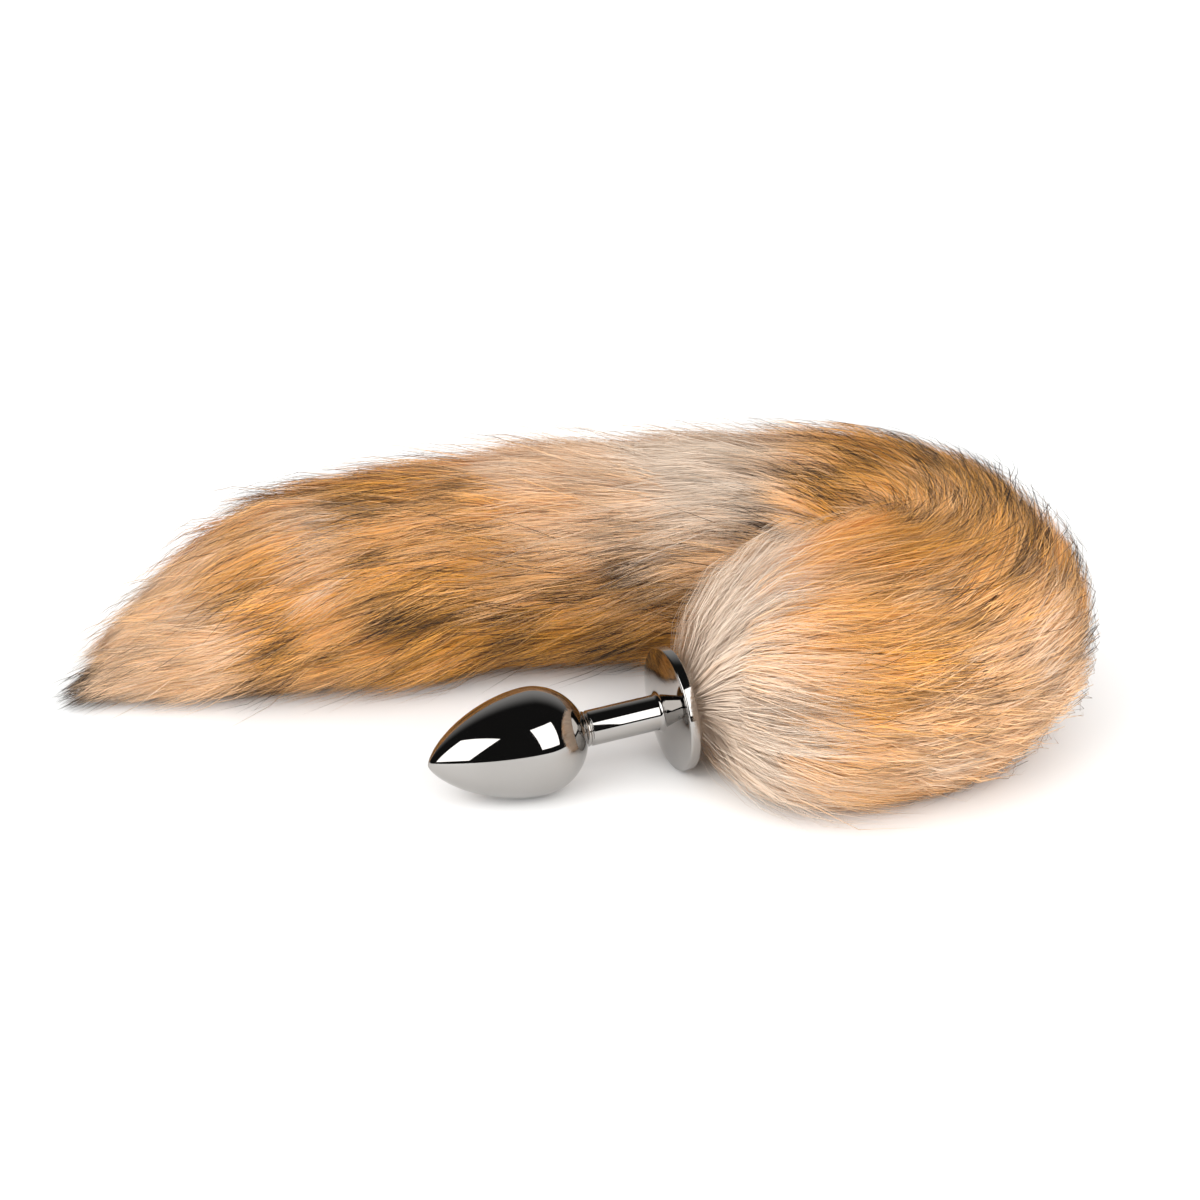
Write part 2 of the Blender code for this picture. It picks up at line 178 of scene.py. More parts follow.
class Wire:
    """A node socket that maths is written on."""

    def __init__(self, nodes, socket):
        self.nodes, self.socket = nodes, socket

    def join(self, operation, left, right=None):
        given = [value for value in (left, right) if value is not None]
        arrows = [self.is_vector(value) for value in given]
        numbered = dict(enumerate(given))
        if not any(arrows):
            return self.nodes.add("ShaderNodeMath", {"operation": operation}, numbered)[0]
        if operation == "MULTIPLY" and not all(arrows):
            vector, number = given if arrows[0] else given[::-1]
            scaled = {"Vector": vector, "Scale": number}
            return self.nodes.add("ShaderNodeVectorMath", {"operation": "SCALE"}, scaled)["Vector"]
        made = self.nodes.add("ShaderNodeVectorMath", {"operation": operation}, numbered)
        return made["Value" if operation == "DOT_PRODUCT" else "Vector"]

    @staticmethod
    def is_vector(value):
        return isinstance(value, Wire) and value.socket.type == "VECTOR"

    def __add__(self, other):
        return self.join("ADD", self, other)

    def __radd__(self, other):
        return self.join("ADD", other, self)

    def __sub__(self, other):
        return self.join("SUBTRACT", self, other)

    def __rsub__(self, other):
        return self.join("SUBTRACT", other, self)

    def __mul__(self, other):
        return self.join("MULTIPLY", self, other)

    def __truediv__(self, other):
        return self.join("DIVIDE", self, other)

    def __pow__(self, other):
        return self.join("POWER", self, other)

    def __gt__(self, other):
        return self.join("GREATER_THAN", self, other)

    def __lt__(self, other):
        return self.join("LESS_THAN", self, other)

    def at_least(self, other):
        return self.join("MAXIMUM", self, other)

    def at_most(self, other):
        return self.join("MINIMUM", self, other)

    def floor(self):
        return self.join("FLOOR", self)

    def sin(self):
        return self.join("SINE", self)

    def cos(self):
        return self.join("COSINE", self)

    def exp(self):
        return self.join("EXPONENT", self)

    def dot(self, other):
        return self.join("DOT_PRODUCT", self, other)

    def cross(self, other):
        return self.join("CROSS_PRODUCT", self, other)

    def unit(self):
        return self.join("NORMALIZE", self)

    def parts(self):
        made = self.nodes.add("ShaderNodeSeparateXYZ", {}, {0: self})
        return made[0], made[1], made[2]

    def ease(self, low, high):
        """0 below low, 1 above high and smooth between."""
        settings = {"interpolation_type": "SMOOTHSTEP"}
        return self.nodes.add("ShaderNodeMapRange", settings, {0: self, 1: low, 2: high})[0]


class Made:
    """A node that was added, read by its outputs' names or numbers."""

    def __init__(self, nodes, node):
        self.nodes, self.node = nodes, node

    def __getitem__(self, key):
        return Wire(self.nodes, self.node.outputs[key])


class Nodes:
    """A node tree that nodes are added to."""

    def __init__(self, tree):
        self.tree = tree

    def add(self, kind, settings=(), inputs=()):
        """A node of this type, with its settings, then the values or links of its sockets."""
        node = self.tree.nodes.new(kind)
        for key, value in dict(settings).items():
            setattr(node, key, value)
        for key, value in dict(inputs).items():
            if isinstance(value, Wire):
                self.tree.links.new(value.socket, node.inputs[key])
            else:
                node.inputs[key].default_value = value
        return Made(self, node)

    def mix(self, factor, first, second):
        """A blend of two colours."""
        return self.add("ShaderNodeMix", {"data_type": "RGBA"}, {0: factor, 6: first, 7: second})[2]


def finish(name, constants, build):
    """A Principled material: its plain values, and what build(nodes) returns for its sockets."""
    made = bpy.data.materials.new(name)
    made.use_nodes = True
    principled = made.node_tree.nodes["Principled BSDF"]
    for key, value in constants.items():
        principled.inputs[key].default_value = value
    for key, wire in build(Nodes(made.node_tree)).items():
        made.node_tree.links.new(wire.socket, principled.inputs[key])
    return made


PLATING_DARK, PLATING_LIGHT = (0.34, 0.325, 0.31, 1), (0.38, 0.365, 0.35, 1)
POLISH, CLOUDED, SCRATCHED = 0.02, 0.03, 0.05
SCRATCH_STRETCH = (9, 9, 1)


def mirror_plating(nodes):
    """Mirror plating with the faint cloudiness and hair scratches of handling."""
    place = nodes.add("ShaderNodeTexCoord")["Object"]
    cloud = nodes.add("ShaderNodeTexNoise", {}, {"Vector": place, "Scale": 90, "Detail": 3})[0]
    stretched = nodes.add("ShaderNodeMapping", {}, {"Vector": place, "Scale": SCRATCH_STRETCH})[0]
    inputs = {"Vector": stretched, "Scale": 260, "Detail": 5}
    scratch = nodes.add("ShaderNodeTexNoise", {}, inputs)[0]
    return {
        "Base Color": nodes.mix(cloud, PLATING_DARK, PLATING_LIGHT),
        "Roughness": POLISH + cloud * CLOUDED + scratch.ease(0.62, 0.8) * SCRATCHED,
    }


plug = turned("plug_polished", plug_profile(), plug_tip, plug_axis)
plug.data.materials.append(finish("mirror_plating", {"Metallic": 1}, mirror_plating))
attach(plug, "root")
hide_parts("plug_body")


# The pin that carries the tail is plain turned steel, seated in the flange and in the tail's root.
# The fur hides it.
STEEL_DARK, STEEL_LIGHT = (0.42, 0.42, 0.42, 1), (0.56, 0.56, 0.55, 1)


def turned_steel(nodes):
    place = nodes.add("ShaderNodeTexCoord")["Object"]
    grain = nodes.add("ShaderNodeTexNoise", {}, {"Vector": place, "Scale": 900, "Detail": 4})[0]
    return {
        "Base Color": nodes.mix(grain, STEEL_DARK, STEEL_LIGHT),
        "Roughness": 0.3 + grain * 0.15,
    }


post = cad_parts["tail_post"]
post.data.materials.clear()
post.data.materials.append(finish("turned_steel", {"Metallic": 1}, turned_steel))


# The tail's core: a soft knitted backing sewn into a tube, which lies in a tight bend and is
# pressed flat underneath by its own weight. Its sections follow the solid tail from root to tip.
TAIL_REACH, TAIL_SPREAD = 0.150, 0.074
TAIL_HALF_WIDTH, TAIL_HEIGHT = 0.032, 0.058
ROOT_RADIUS, ROOT_GAP = 0.0135, 0.0003
CORE_INSET, CORE_INSET_SHARE = 0.0045, 0.4
CORE_CLEARANCE = 0.0010
CORE_ROWS, CORE_SIDES = 200, 60
ROOT_BLEND = 0.035
Section = namedtuple("Section", "reach spread half_width top belly")
TAIL_SECTIONS = (
    Section(0.08, 0.03, 0.64, 0.73, 0.00),
    Section(0.17, -0.01, 0.90, 0.94, -0.09),
    Section(0.28, -0.07, 1.02, 1.05, -0.12),
    Section(0.40, -0.02, 1.00, 1.05, -0.12),
    Section(0.48, 0.22, 0.92, 1.02, -0.11),
    Section(0.485, 0.51, 0.88, 0.98, -0.10),
    Section(0.42, 0.77, 0.88, 0.94, -0.10),
    Section(0.29, 0.94, 0.92, 0.92, -0.10),
    Section(0.13, 1.00, 0.94, 0.90, -0.10),
    Section(-0.07, 1.01, 0.92, 0.87, -0.10),
    Section(-0.24, 0.97, 0.90, 0.87, -0.10),
    Section(-0.50, 0.84, 0.86, 0.84, -0.10),
    Section(-0.74, 0.70, 0.76, 0.72, -0.07),
    Section(-0.91, 0.56, 0.45, 0.42, -0.03),
    Section(-1.00, 0.47, 0.12, 0.18, 0.04),
)

flange_centre = plug_tip + plug_axis * PLUG_LENGTH
tail_root = flange_centre + plug_axis * ROOT_GAP


def smooth_rows(rows, places):
    """The sections blended at places from 0 to 1, and the level heading at each."""
    steps = np.linalg.norm(np.diff(rows[:, :2], axis=0), axis=1)
    knots = np.concatenate([[0], np.cumsum(steps)]) / steps.sum()
    slopes = np.gradient(rows, knots, axis=0)
    k = np.clip(np.searchsorted(knots, places, side="right") - 1, 0, len(knots) - 2)
    span = (knots[k + 1] - knots[k])[:, None]
    t = (places - knots[k])[:, None] / span
    blended = (2 * t**3 - 3 * t**2 + 1) * rows[k] + (3 * t**2 - 2 * t**3) * rows[k + 1]
    blended += ((t**3 - 2 * t**2 + t) * slopes[k] + (t**3 - t**2) * slopes[k + 1]) * span
    heading = (6 * t**2 - 6 * t) * (rows[k] - rows[k + 1]) / span
    heading += (3 * t**2 - 4 * t + 1) * slopes[k] + (3 * t**2 - 2 * t) * slopes[k + 1]
    heading = heading[:, :2]
    return blended, heading / np.linalg.norm(heading, axis=1)[:, None]


def core_surface():
    """The core's points by row and column, its rows' places, columns' angles and rows' headings."""
    scale = np.array((TAIL_REACH, TAIL_SPREAD, TAIL_HALF_WIDTH, TAIL_HEIGHT, TAIL_HEIGHT))
    rows = np.array(TAIL_SECTIONS) * scale
    rows[:, :2] += np.array(flange_centre)[:2]
    top, bottom = tail_root.z + ROOT_RADIUS, tail_root.z - ROOT_RADIUS
    rows = np.vstack([[tail_root.x, tail_root.y, ROOT_RADIUS, top, bottom], rows])
    places = np.linspace(0, 1, CORE_ROWS)
    blended, heading = smooth_rows(rows, places)
    around = np.linspace(0, 2 * math.pi, CORE_SIDES, endpoint=False)
    cos, sin = np.cos(around), np.sin(around)
    x, y, half_width, top, belly = blended.T[:, :, None]
    middle, half_height = (top + belly) / 2, (top - belly) / 2
    inset = np.minimum(CORE_INSET, np.minimum(half_width, half_height) * CORE_INSET_SHARE)
    half_width, half_height = half_width - inset, half_height - inset
    points = np.empty((CORE_ROWS, CORE_SIDES, 3))
    points[:, :, 0] = x - heading[:, 1:] * half_width * cos
    points[:, :, 1] = y + heading[:, :1] * half_width * cos
    points[:, :, 2] = np.maximum(middle + half_height * sin, CORE_CLEARANCE)

    side = Vector((0, 0, 1)).cross(plug_axis).normalized()
    up = plug_axis.cross(side)
    disc = (ROOT_RADIUS - CORE_INSET) * (np.outer(cos, side) + np.outer(sin, up))
    length = np.linalg.norm(np.diff(rows[:, :2], axis=0), axis=1).sum()
    straight = np.array(tail_root) + np.outer(places * length, plug_axis)
    share = np.clip(places / ROOT_BLEND, 0, 1)[:, None, None]
    share = share * share * (3 - 2 * share)
    points = (straight[:, None, :] + disc) * (1 - share) + points * share
    return points, places, around, heading, length


core_points, core_places, core_around, core_heading, core_length = core_surface()

# The fur's colours and length by place along the tail. Faux fox fur is dyed from cream to gold,
# streaked brown, and its hair tips are dark. One greyish brown patch by the flange is painted shadow.
Coat = namedtuple("Coat", "place warmth brown tip length rise")
COAT = (
    Coat(0.00, 0.00, 0.05, 0.05, 0.020, 0.0200),
    Coat(0.03, 0.10, 0.12, 0.05, 0.025, 0.0150),
    Coat(0.06, 0.80, 0.15, 0.20, 0.029, 0.0120),
    Coat(0.10, 0.95, 0.35, 0.50, 0.032, 0.0100),
    Coat(0.16, 0.95, 0.65, 0.90, 0.032, 0.0095),
    Coat(0.22, 0.80, 0.75, 1.00, 0.033, 0.0095),
    Coat(0.28, 0.85, 0.80, 1.10, 0.030, 0.0105),
    Coat(0.34, 1.05, 0.80, 1.25, 0.026, 0.0125),
    Coat(0.39, 1.00, 0.80, 1.25, 0.024, 0.0140),
    Coat(0.44, 0.50, 0.60, 0.90, 0.029, 0.0100),
    Coat(0.52, 0.85, 0.30, 0.40, 0.030, 0.0090),
    Coat(0.60, 0.85, 0.25, 0.40, 0.030, 0.0090),
    Coat(0.75, 0.80, 0.65, 0.80, 0.030, 0.0090),
    Coat(0.85, 0.85, 0.80, 0.95, 0.028, 0.0085),
    Coat(0.87, 0.45, 0.15, 0.25, 0.026, 0.0080),
    Coat(0.95, 0.45, 0.20, 0.35, 0.020, 0.0060),
    Coat(0.975, 0.40, 0.25, 0.50, 0.018, 0.0045),
    Coat(1.00, 0.30, 1.40, 2.00, 0.016, 0.0035),
)
Patch = namedtuple("Patch", "x y z radius warmth brown tip")
PATCHES_AND_PAINTED_SHADOW = (
    # painted shadow: greyish brown below the flange's side
    Patch(0.040, -0.050, 0.022, 0.015, -0.10, 0.60, 0.30),
    Patch(0.082, -0.069, 0.022, 0.026, 0.40, 0.15, 0.30),
    Patch(0.108, -0.052, 0.030, 0.016, 0.35, 0.15, 0.30),
    Patch(0.064, 0.026, 0.054, 0.013, 0.00, 1.05, 1.10),
    Patch(0.045, 0.037, 0.051, 0.028, -0.20, 0.02, 0.05),
    Patch(0.010, 0.038, 0.051, 0.020, 0.15, 0.05, 0.10),
    # three low patches near the floor, darker brown with dark tips
    Patch(0.032, 0.012, 0.016, 0.019, 1.10, 1.35, 1.40),
    Patch(0.004, 0.008, 0.012, 0.018, 1.10, 0.95, 1.10),
    Patch(-0.024, 0.002, 0.010, 0.015, 1.00, 0.80, 1.00),
    Patch(-0.050, 0.016, 0.042, 0.010, 0.20, 0.20, 0.30),
    Patch(-0.122, 0.003, 0.004, 0.010, 0.30, 2.20, 2.50),
)
UNDERSIDE_SINE, UNDERSIDE_FADE, UNDERSIDE_SHARE = -0.6, 0.25, 0.25
LAID_LENGTH = 0.030
CREAM = (0.81, 0.67, 0.54, 1)
GOLD = (0.90, 0.41, 0.065, 1)
BROWN = (0.16, 0.072, 0.03, 1)
BLACK = (0.022, 0.013, 0.008, 1)
ROOT_SHADE = 0.3
PILE_HEIGHT = 0.0006


def core_fields():
    """For each point of the core: colours, hair length and rise, hair share, and the fur's lie."""
    coat = np.array(COAT)
    rows = [np.interp(core_places, coat[:, 0], column) for column in coat[:, 1:].T]
    fields = np.repeat(np.array(rows).T[:, None, :], CORE_SIDES, axis=1)
    for patch in PATCHES_AND_PAINTED_SHADOW:
        away = np.linalg.norm(core_points - np.array(patch[:3]), axis=2) / patch.radius
        share = np.exp(-(away**2))[:, :, None]
        fields[:, :, :3] = fields[:, :, :3] * (1 - share) + np.array(patch[4:]) * share
    under = np.clip((UNDERSIDE_SINE - np.sin(core_around)) / UNDERSIDE_FADE, 0, 1)
    share = np.tile(1 - (1 - UNDERSIDE_SHARE) * under, (CORE_ROWS, 1))
    flow = np.zeros((CORE_ROWS, CORE_SIDES, 3))
    flow[:, :, :2] = core_heading[:, None, :]
    return fields, share, flow


def core_ahead(length):
    """The way from each point of the core to the core this far ahead, even past its tip."""
    step = 1 / (CORE_ROWS - 1)
    rows = (core_places + length / core_length) / step
    below = np.clip(rows.astype(int), 0, CORE_ROWS - 2)
    share = (rows - below)[:, None, None]
    ahead = core_points[below] * (1 - share) + core_points[below + 1] * share - core_points
    far = np.linalg.norm(ahead, axis=2)[:, :, None]
    return ahead * np.minimum(1, length / far)


def core_mesh(fields, share, flow):
    rows, sides = CORE_ROWS, CORE_SIDES
    faces = []
    for start in range(0, (rows - 1) * sides, sides):
        for j in range(sides):
            k = (j + 1) % sides
            faces.append((start + j, start + k, start + sides + k, start + sides + j))
    faces.append(tuple(range(sides))[::-1])
    faces.append(tuple(range((rows - 1) * sides, rows * sides)))
    piece = mesh_object("tail_core", core_points.reshape(-1, 3).tolist(), faces)
    trail = np.empty((rows, sides, 3))
    trail[:, :, 0] = core_places[:, None]
    trail[:, :, 1], trail[:, :, 2] = np.cos(core_around), np.sin(core_around)
    form = np.concatenate([fields[:, :, 3:], share[:, :, None]], axis=2)
    named = {"hue": fields[:, :, :3], "form": form, "flow": flow, "trail": trail}
    named["half_way"] = core_ahead(LAID_LENGTH / 2) / LAID_LENGTH
    named["whole_way"] = core_ahead(LAID_LENGTH) / LAID_LENGTH
    for name, values in named.items():
        made = piece.data.attributes.new(name, "FLOAT_VECTOR", "POINT")
        made.data.foreach_set("vector", values.astype(np.float32).ravel())
    piece.data.shade_smooth()
    return piece


def fur_color(nodes, hue, along):
    """Cream to gold, streaked brown, with painted shade and undercoat brown at the hair's root, and
    dark at its tip. The brown also carries the painted shadow patch.
    """
    warmth, brown, tip = hue.parts()
    color = nodes.mix(warmth, CREAM, GOLD)
    color = nodes.mix(brown * along.ease(0.1, 0.5), color, BROWN)
    color = nodes.mix((1 - along.ease(0, 0.5)) * ROOT_SHADE, color, BROWN)
    return nodes.mix(along.ease(0.4, 0.75) * tip, color, BLACK)


def undercoat(nodes):
    place = nodes.add("ShaderNodeTexCoord")["Object"]
    hue = nodes.add("ShaderNodeAttribute", {"attribute_name": "hue"})["Vector"]
    pile = nodes.add("ShaderNodeTexNoise", {}, {"Vector": place, "Scale": 1200, "Detail": 3})[0]
    inputs = {"Strength": 0.6, "Distance": PILE_HEIGHT, "Height": pile}
    bump = nodes.add("ShaderNodeBump", {}, inputs)
    # The core takes the hairs' root colour, with its painted shade.
    return {"Base Color": fur_color(nodes, hue, pile * 0.3), "Normal": bump["Normal"]}


fields, hair_share, flow = core_fields()
core = core_mesh(fields, hair_share, flow)
core.data.materials.append(finish("undercoat", {"Roughness": 0.9}, undercoat))
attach(core, "root")
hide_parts("fur_tail")


# The fur: long soft acrylic hairs knitted into the core, which lie back from the flange to the tip
# and gather in small pointed strands, with a few thick dark guard hairs that stand out of them.
# Each hair is a tapered blade of a few faces.
BANDS = 5
HAIRS_PER_BAND = 35500
HAIR_HALF_WIDTH = 0.00006
FUR_GLOSS = {"Roughness": 0.55, "Specular IOR Level": 0.25}
LOCK_SPACING, STRAND_SPACING = 0.0100, 0.0022
LOCK_PULL, STRAND_PULL, PULL_ALONG = 0.25, 0.55, 0.3
WANDER_SCALE, WANDER = 28, 0.8
LOCK_YAW, STRAND_YAW, HAIR_YAW, GUARD_YAW = 0.10, 0.16, 0.10, 0.2
GUARD_RISE, GUARD_GIRTH, GUARD_TIP = 0.7, 0.7, 0.3
SIDE_LIFT, CREST_DROP = 0.35, 0.2
MOST_RISE, FLARE_PLACE, FLARE = 0.0145, 0.06, 0.10
FACING_BACK, FACING_AHEAD = -0.93, 0.97
HAIR_ROLL = 0.6
WAVE, WAVE_TURN = 0.0004, 3.2
FLOOR_SOFTNESS = 0.003
MAP_CELLS, CELL_MARGIN = 200, 0.1
SEED = 7


def hair_blade():
    """One hair laid out flat: its root at y = 0, its tip at 1, and from -1 to 1 across."""
    points = [(-1, 0, 0), (1, 0, 0), (-1, 0.4, 0), (1, 0.4, 0)]
    points += [(-0.75, 0.75, 0), (0.75, 0.75, 0), (0, 1, 0)]
    piece = mesh_object("hair_blade", points, [(0, 1, 3, 2), (2, 3, 5, 4), (4, 5, 6)])
    piece.data.shade_smooth()
    return piece


def read(nodes, name):
    settings = {"data_type": "FLOAT_VECTOR"}
    return nodes.add("GeometryNodeInputNamedAttribute", settings, {"Name": name})["Attribute"]


def store(nodes, geometry, name, value, kind="FLOAT_VECTOR", domain="POINT"):
    settings = {"data_type": kind, "domain": domain}
    inputs = {"Geometry": geometry, "Name": name, "Value": value}
    return nodes.add("GeometryNodeStoreNamedAttribute", settings, inputs)["Geometry"]


def vector(nodes, x, y, z):
    return nodes.add("ShaderNodeCombineXYZ", {}, {0: x, 1: y, 2: z})[0]


def chances(nodes, key, seed):
    """Three random numbers from -1 to 1 for each key."""
    inputs = {0: (-1, -1, -1), 1: (1, 1, 1), "ID": key, "Seed": seed}
    return nodes.add("FunctionNodeRandomValue", {"data_type": "FLOAT_VECTOR"}, inputs)[0].parts()


def gathered(nodes, given, spacing, root):
    """The nearest of the points scattered over the core at this spacing: its number and place."""
    inputs = {"Mesh": given["Core"], "Distance Min": given[spacing], "Density Max": 400000}
    inputs["Seed"] = given["Seed"]
    kind = "GeometryNodeDistributePointsOnFaces"
    centres = nodes.add(kind, {"distribute_method": "POISSON"}, inputs)["Points"]
    inputs = {"Geometry": centres, "Sample Position": root}
    nearest = nodes.add("GeometryNodeSampleNearest", {}, inputs)[0]
    inputs = {"Geometry": centres, "Value": root, "Index": nearest}
    return nearest, nodes.add("GeometryNodeSampleIndex", {"data_type": "FLOAT_VECTOR"}, inputs)[0]


def planted(nodes, given):
    """Points on the core, one for each hair, which carry all that shapes and colours it."""
    place, ring_x, ring_y = read(nodes, "trail").parts()
    long, high, share = read(nodes, "form").parts()
    flow = read(nodes, "flow")
    face = nodes.add("GeometryNodeInputNormal")["Normal"]
    leaning = flow.dot(face)
    band = (place > given["From"]) * (place < given["To"])
    band = band * (leaning > FACING_BACK) * (leaning < FACING_AHEAD)
    inputs = {"Mesh": given["Core"], "Selection": band, "Seed": given["Seed"]}
    inputs["Density"] = given["Hairs per Area"] * share
    scattered = nodes.add("GeometryNodeDistributePointsOnFaces", {}, inputs)

    root = nodes.add("GeometryNodeInputPosition")[0]
    index = nodes.add("GeometryNodeInputIndex")[0]
    lock, lock_centre = gathered(nodes, given, "Lock Spacing", root)
    strand, strand_centre = gathered(nodes, given, "Strand Spacing", root)
    lock_yaw, lock_long, lock_high = chances(nodes, lock, 1)
    _, lock_warm, lock_phase = chances(nodes, lock, 2)
    strand_yaw, strand_high, strand_tone = chances(nodes, strand, 3)
    hair_yaw, hair_long, hair_high = chances(nodes, index, 4)
    hair_tone, hair_roll, hair_guard = chances(nodes, index, 5)

    up = read(nodes, "up")
    whole = read(nodes, "whole_way")
    across = whole.cross(up).unit()
    lie = up.cross(across)
    inputs = {"Vector": root, "Scale": WANDER_SCALE, "Detail": 1}
    noise = nodes.add("ShaderNodeTexNoise", {}, inputs)[0]
    guard = hair_guard.ease(0.8, 1)
    drift = (noise - 0.5) * WANDER + lock_yaw * LOCK_YAW + strand_yaw * STRAND_YAW
    drift = drift + hair_yaw * (HAIR_YAW + guard * GUARD_YAW)
    offset = (lock_centre - root) * LOCK_PULL + (strand_centre - root) * STRAND_PULL
    pull = across * across.dot(offset) + lie * (lie.dot(offset) * PULL_ALONG)
    rise = up - flow * flow.dot(up).at_most(0)
    long = long * (1 + lock_long * 0.16 + hair_long * 0.18 + guard * 0.2)
    lift = SIDE_LIFT + ring_y.ease(-0.9, 0.2) * (1 - SIDE_LIFT) - ring_y.ease(0.5, 1) * CREST_DROP
    vary = lock_high * 0.2 + strand_high * 0.25 + hair_high * 0.25
    high = high * lift * (1 + vary + guard * GUARD_RISE)
    high = high.at_most(MOST_RISE + (FLARE_PLACE - place).at_least(0) * FLARE)
    fine = vector(nodes, place * 18, ring_x * 10, ring_y * 10)
    streak = nodes.add("ShaderNodeTexNoise", {}, {"Vector": fine, "Scale": 1, "Detail": 2})[0]
    broad = vector(nodes, place * 8, ring_x * 2, ring_y * 2)
    patch = nodes.add("ShaderNodeTexNoise", {}, {"Vector": broad, "Scale": 1, "Detail": 1})[0]
    warmth, brown, tip = read(nodes, "hue").parts()
    warmth = warmth + (patch - 0.5) * 0.8 + lock_warm * 0.08
    warmth = warmth + strand_yaw * 0.10 + hair_tone * 0.15
    streak = streak.ease(0.54, 0.60)
    dark = strand_tone.ease(0.4, 0.9)
    solid_brown, solid_tip = (brown - 1).at_least(0), (tip - 1).at_least(0)
    brown = brown * (streak * 1.1 + dark * 0.2) + solid_brown + hair_long * 0.05
    tip = tip * (streak * 1.1 + dark * 0.5 + guard * 0.6) + solid_tip + guard * GUARD_TIP
    row = (index / given["Map Cells"]).floor()
    column = index - row * given["Map Cells"]
    carried = {
        "up": scattered["Normal"],
        "across": across,
        "rise": rise.unit(),
        "pull": pull,
        "shape": vector(nodes, long, high, hair_roll * HAIR_ROLL),
        "drift": vector(nodes, drift, 1 + guard * GUARD_GIRTH, 0),
        "cell": vector(nodes, column, row, lock_phase * 3 + hair_high * 0.5),
        "tint": vector(nodes, warmth, brown, tip),
        "root": root,
    }
    points = scattered["Points"]
    for name, value in carried.items():
        points = store(nodes, points, name, value)
    return points


def grown(nodes, given, hairs):
    """Laid-out blades bent into hairs, which carry their place along and their cell of the map."""
    root, up, rise, across = (read(nodes, name) for name in ("root", "up", "rise", "across"))
    pull, half, whole = (read(nodes, name) for name in ("pull", "half_way", "whole_way"))
    drift, girth, _ = read(nodes, "drift").parts()
    side, along, _ = (nodes.add("GeometryNodeInputPosition")[0] - root).parts()
    long, high, roll = read(nodes, "shape").parts()
    column, row, phase = read(nodes, "cell").parts()
    cells = given["Map Cells"]
    column = column + 0.5 + side * (0.5 - CELL_MARGIN)
    row = row + CELL_MARGIN + along * (1 - 2 * CELL_MARGIN)
    cell = vector(nodes, column / cells, row / cells, 0)
    hairs = store(nodes, hairs, "OFBake", cell, "FLOAT2", "CORNER")
    hairs = store(nodes, hairs, "along", along, "FLOAT")
    far = along * (0.45 + along * 0.55)
    path = root + half * (long * far * (1 - far) * 4) + whole * (long * far * (far * 2 - 1))
    path = path + across * (long * far * drift) + rise * (high * along * (2 - along))
    path = path + pull * along**1.4
    path = path + across * ((phase + along * WAVE_TURN).sin() * along * WAVE)
    path = path + (across * roll.cos() + up * roll.sin()) * (side * girth * given["Half Width"])
    x, y, z = path.parts()
    soft = given["Floor Softness"]
    z = soft * (z.at_most(soft) / soft - 1).exp() + (z - soft).at_least(0)
    inputs = {"Geometry": hairs, "Position": vector(nodes, x, y, z)}
    return nodes.add("GeometryNodeSetPosition", {}, inputs)["Geometry"]


def fur_tree(blade, material):
    """The Geometry Nodes tree of one band of fur, and its inputs' identifiers by name."""
    tree = bpy.data.node_groups.new("tail_fur", "GeometryNodeTree")
    named = {}
    kinds = {"Core": "NodeSocketGeometry", "Seed": "NodeSocketInt"}
    for name in ("From", "To", "Hairs per Area", "Half Width"):
        kinds[name] = "NodeSocketFloat"
    for name in ("Lock Spacing", "Strand Spacing", "Floor Softness", "Map Cells"):
        kinds[name] = "NodeSocketFloat"
    for name, kind in kinds.items():
        named[name] = tree.interface.new_socket(name, in_out="INPUT", socket_type=kind).identifier
    tree.interface.new_socket("Fur", in_out="OUTPUT", socket_type="NodeSocketGeometry")
    nodes = Nodes(tree)
    given = nodes.add("NodeGroupInput")
    shape = nodes.add("GeometryNodeObjectInfo", {}, {"Object": blade})["Geometry"]
    inputs = {"Points": planted(nodes, given), "Instance": shape}
    blades = nodes.add("GeometryNodeInstanceOnPoints", {}, inputs)["Instances"]
    hairs = nodes.add("GeometryNodeRealizeInstances", {}, {"Geometry": blades})["Geometry"]
    inputs = {"Geometry": grown(nodes, given, hairs), "Material": material}
    fur = nodes.add("GeometryNodeSetMaterial", {}, inputs)["Geometry"]
    nodes.add("NodeGroupOutput", {}, {0: fur})
    return tree, named


def band_limits():
    """Places that part the core into bands of equally many hairs, and the hairs for each area."""
    along = np.linalg.norm(np.diff(core_points, axis=0), axis=2)
    round_it = np.linalg.norm(np.roll(core_points, -1, axis=1) - core_points, axis=2)
    area = along * (round_it[1:] + round_it[:-1]) / 2 * (hair_share[1:] + hair_share[:-1]) / 2
    covered = np.concatenate([[0], np.cumsum(area.sum(axis=1))])
    limits = np.interp(np.linspace(0, covered[-1], BANDS + 1), covered, core_places)
    return limits, HAIRS_PER_BAND * BANDS / covered[-1]


def long_fur(nodes):
    tint = nodes.add("ShaderNodeAttribute", {"attribute_name": "tint"})["Vector"]
    along = nodes.add("ShaderNodeAttribute", {"attribute_name": "along"})["Fac"]
    return {"Base Color": fur_color(nodes, tint, along)}


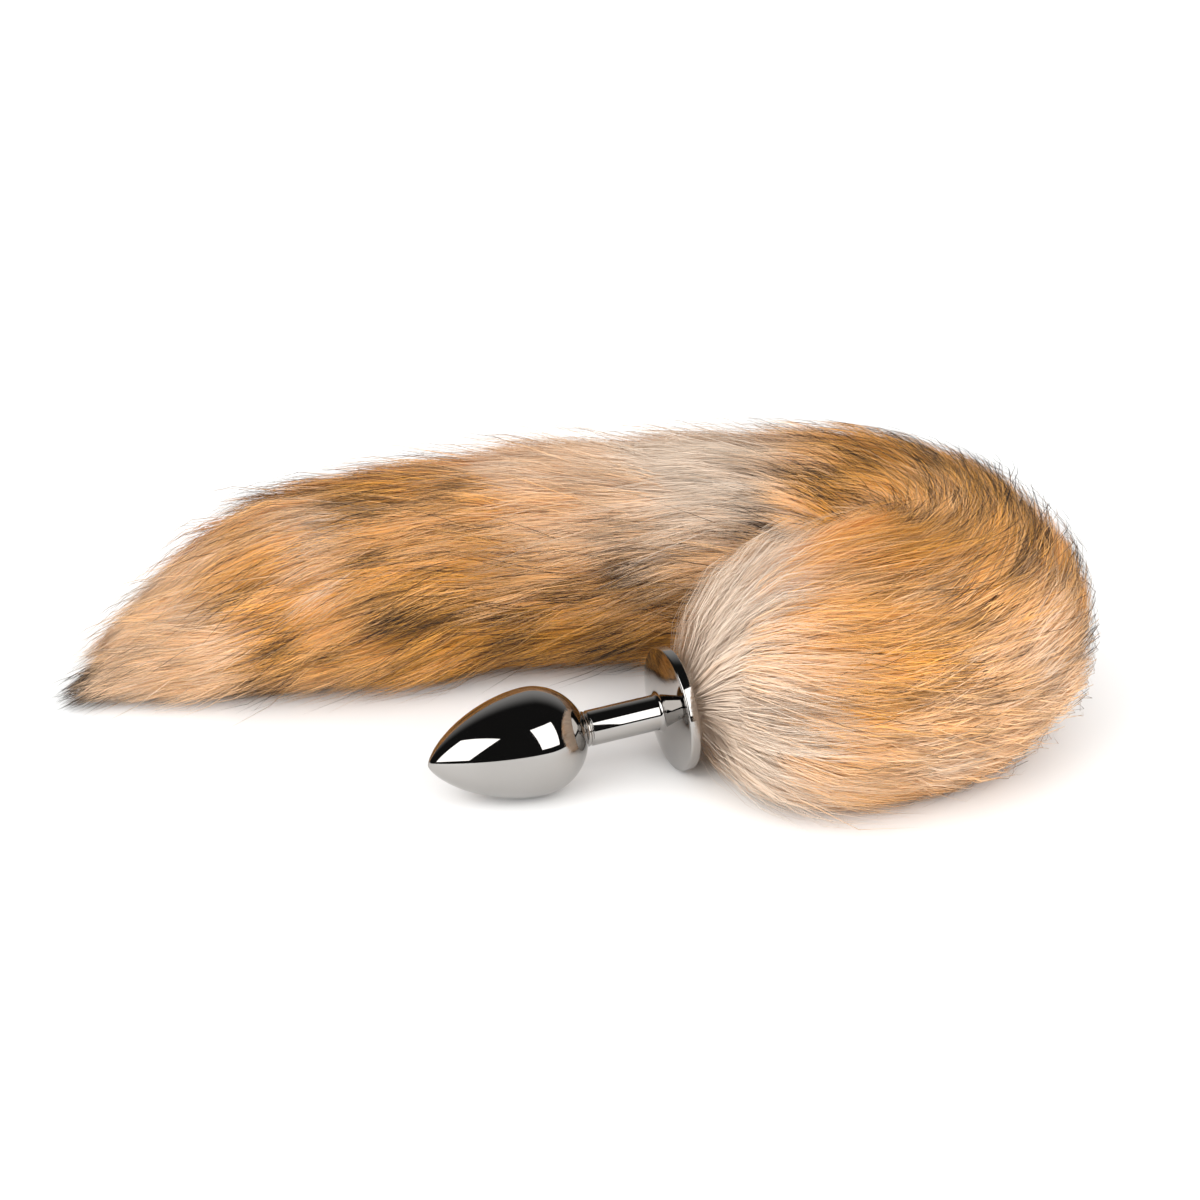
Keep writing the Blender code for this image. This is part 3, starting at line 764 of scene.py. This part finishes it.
blade = hair_blade()
tree, named = fur_tree(blade, finish("long_fur", FUR_GLOSS, long_fur))
limits, hairs_per_area = band_limits()
for band in range(BANDS):
    holder = bpy.data.objects.new("holder", core.data)
    bpy.context.scene.collection.objects.link(holder)
    modifier = holder.modifiers.new("tail_fur", "NODES")
    modifier.node_group = tree
    values = {
        "From": float(limits[band]),
        "To": float(limits[band + 1]),
        "Hairs per Area": float(hairs_per_area),
        "Half Width": HAIR_HALF_WIDTH,
        "Lock Spacing": LOCK_SPACING,
        "Strand Spacing": STRAND_SPACING,
        "Floor Softness": FLOOR_SOFTNESS,
        "Map Cells": float(MAP_CELLS),
        "Seed": SEED,
    }
    for name, value in values.items():
        modifier[named[name]] = value
    evaluated = holder.evaluated_get(bpy.context.evaluated_depsgraph_get())
    mesh = bpy.data.meshes.new_from_object(evaluated)
    kept = ("position", "sharp_face", "material_index", "OFBake", "tint", "along")
    for name in [attribute.name for attribute in mesh.attributes]:
        if not (name.startswith(".") or name in kept):
            mesh.attributes.remove(mesh.attributes[name])
    piece = bpy.data.objects.new(f"tail_fur_{band + 1}", mesh)
    bpy.context.scene.collection.objects.link(piece)
    bpy.data.objects.remove(holder)
    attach(piece, "root")
bpy.data.objects.remove(blade)


# The floor is a plain white sweep, lit by a soft white dome and two large softboxes with dark
# between them, which the plug's polish mirrors.
FLOOR_HALF = 3.0
DOME_LIGHT, DOME_MIRRORED, BACKDROP_MIRRORED = 1.15, 0.015, 0.5
Softbox = namedtuple("Softbox", "name azimuth height distance width tall radiance")
FLOOR_DARK, FLOOR_LIGHT = (0.86, 0.86, 0.855, 1), (0.88, 0.88, 0.875, 1)
SOFTBOXES = (
    Softbox("softbox_right", 42, 33, 1.2, 0.7, 1.0, 3.6),
    Softbox("softbox_left", -48, 30, 1.2, 1.05, 0.95, 3.6),
)

half = FLOOR_HALF
corners = [(-half, -half, 0), (half, -half, 0), (half, half, 0), (-half, half, 0)]
floor = mesh_object("floor", corners, [(0, 1, 2, 3)])


def matt_white(nodes):
    place = nodes.add("ShaderNodeTexCoord")["Object"]
    cloud = nodes.add("ShaderNodeTexNoise", {}, {"Vector": place, "Scale": 3, "Detail": 2})[0]
    return {"Base Color": nodes.mix(cloud, FLOOR_DARK, FLOOR_LIGHT)}


floor.data.materials.append(finish("matt_white", {"Roughness": 0.7}, matt_white))

for box in SOFTBOXES:
    light = bpy.data.lights.new(box.name, "AREA")
    light.shape = "RECTANGLE"
    light.size, light.size_y = box.width, box.tall
    light.energy = box.radiance * math.pi * box.width * box.tall
    lamp = bpy.data.objects.new(box.name, light)
    azimuth, height = math.radians(box.azimuth), math.radians(box.height)
    level = math.cos(height)
    way = Vector((math.sin(azimuth) * level, -math.cos(azimuth) * level, math.sin(height)))
    lamp.location = way * box.distance
    lamp.rotation_euler = way.to_track_quat("Z", "Y").to_euler()
    bpy.context.scene.collection.objects.link(lamp)

world = bpy.data.worlds.new("studio")
bpy.context.scene.world = world
world.use_nodes = True
sky = Nodes(world.node_tree)
mirrored = sky.add("ShaderNodeLightPath")["Is Glossy Ray"]
_, back, _ = sky.add("ShaderNodeTexCoord")["Generated"].parts()
backdrop = DOME_MIRRORED + back.ease(0.35, 1) * BACKDROP_MIRRORED
strength = DOME_LIGHT + mirrored * (backdrop - DOME_LIGHT)
world.node_tree.links.new(strength.socket, world.node_tree.nodes["Background"].inputs["Strength"])
world.node_tree.nodes["Background"].inputs["Color"].default_value = (1, 1, 1, 1)
bpy.context.scene.view_settings.view_transform = "Standard"
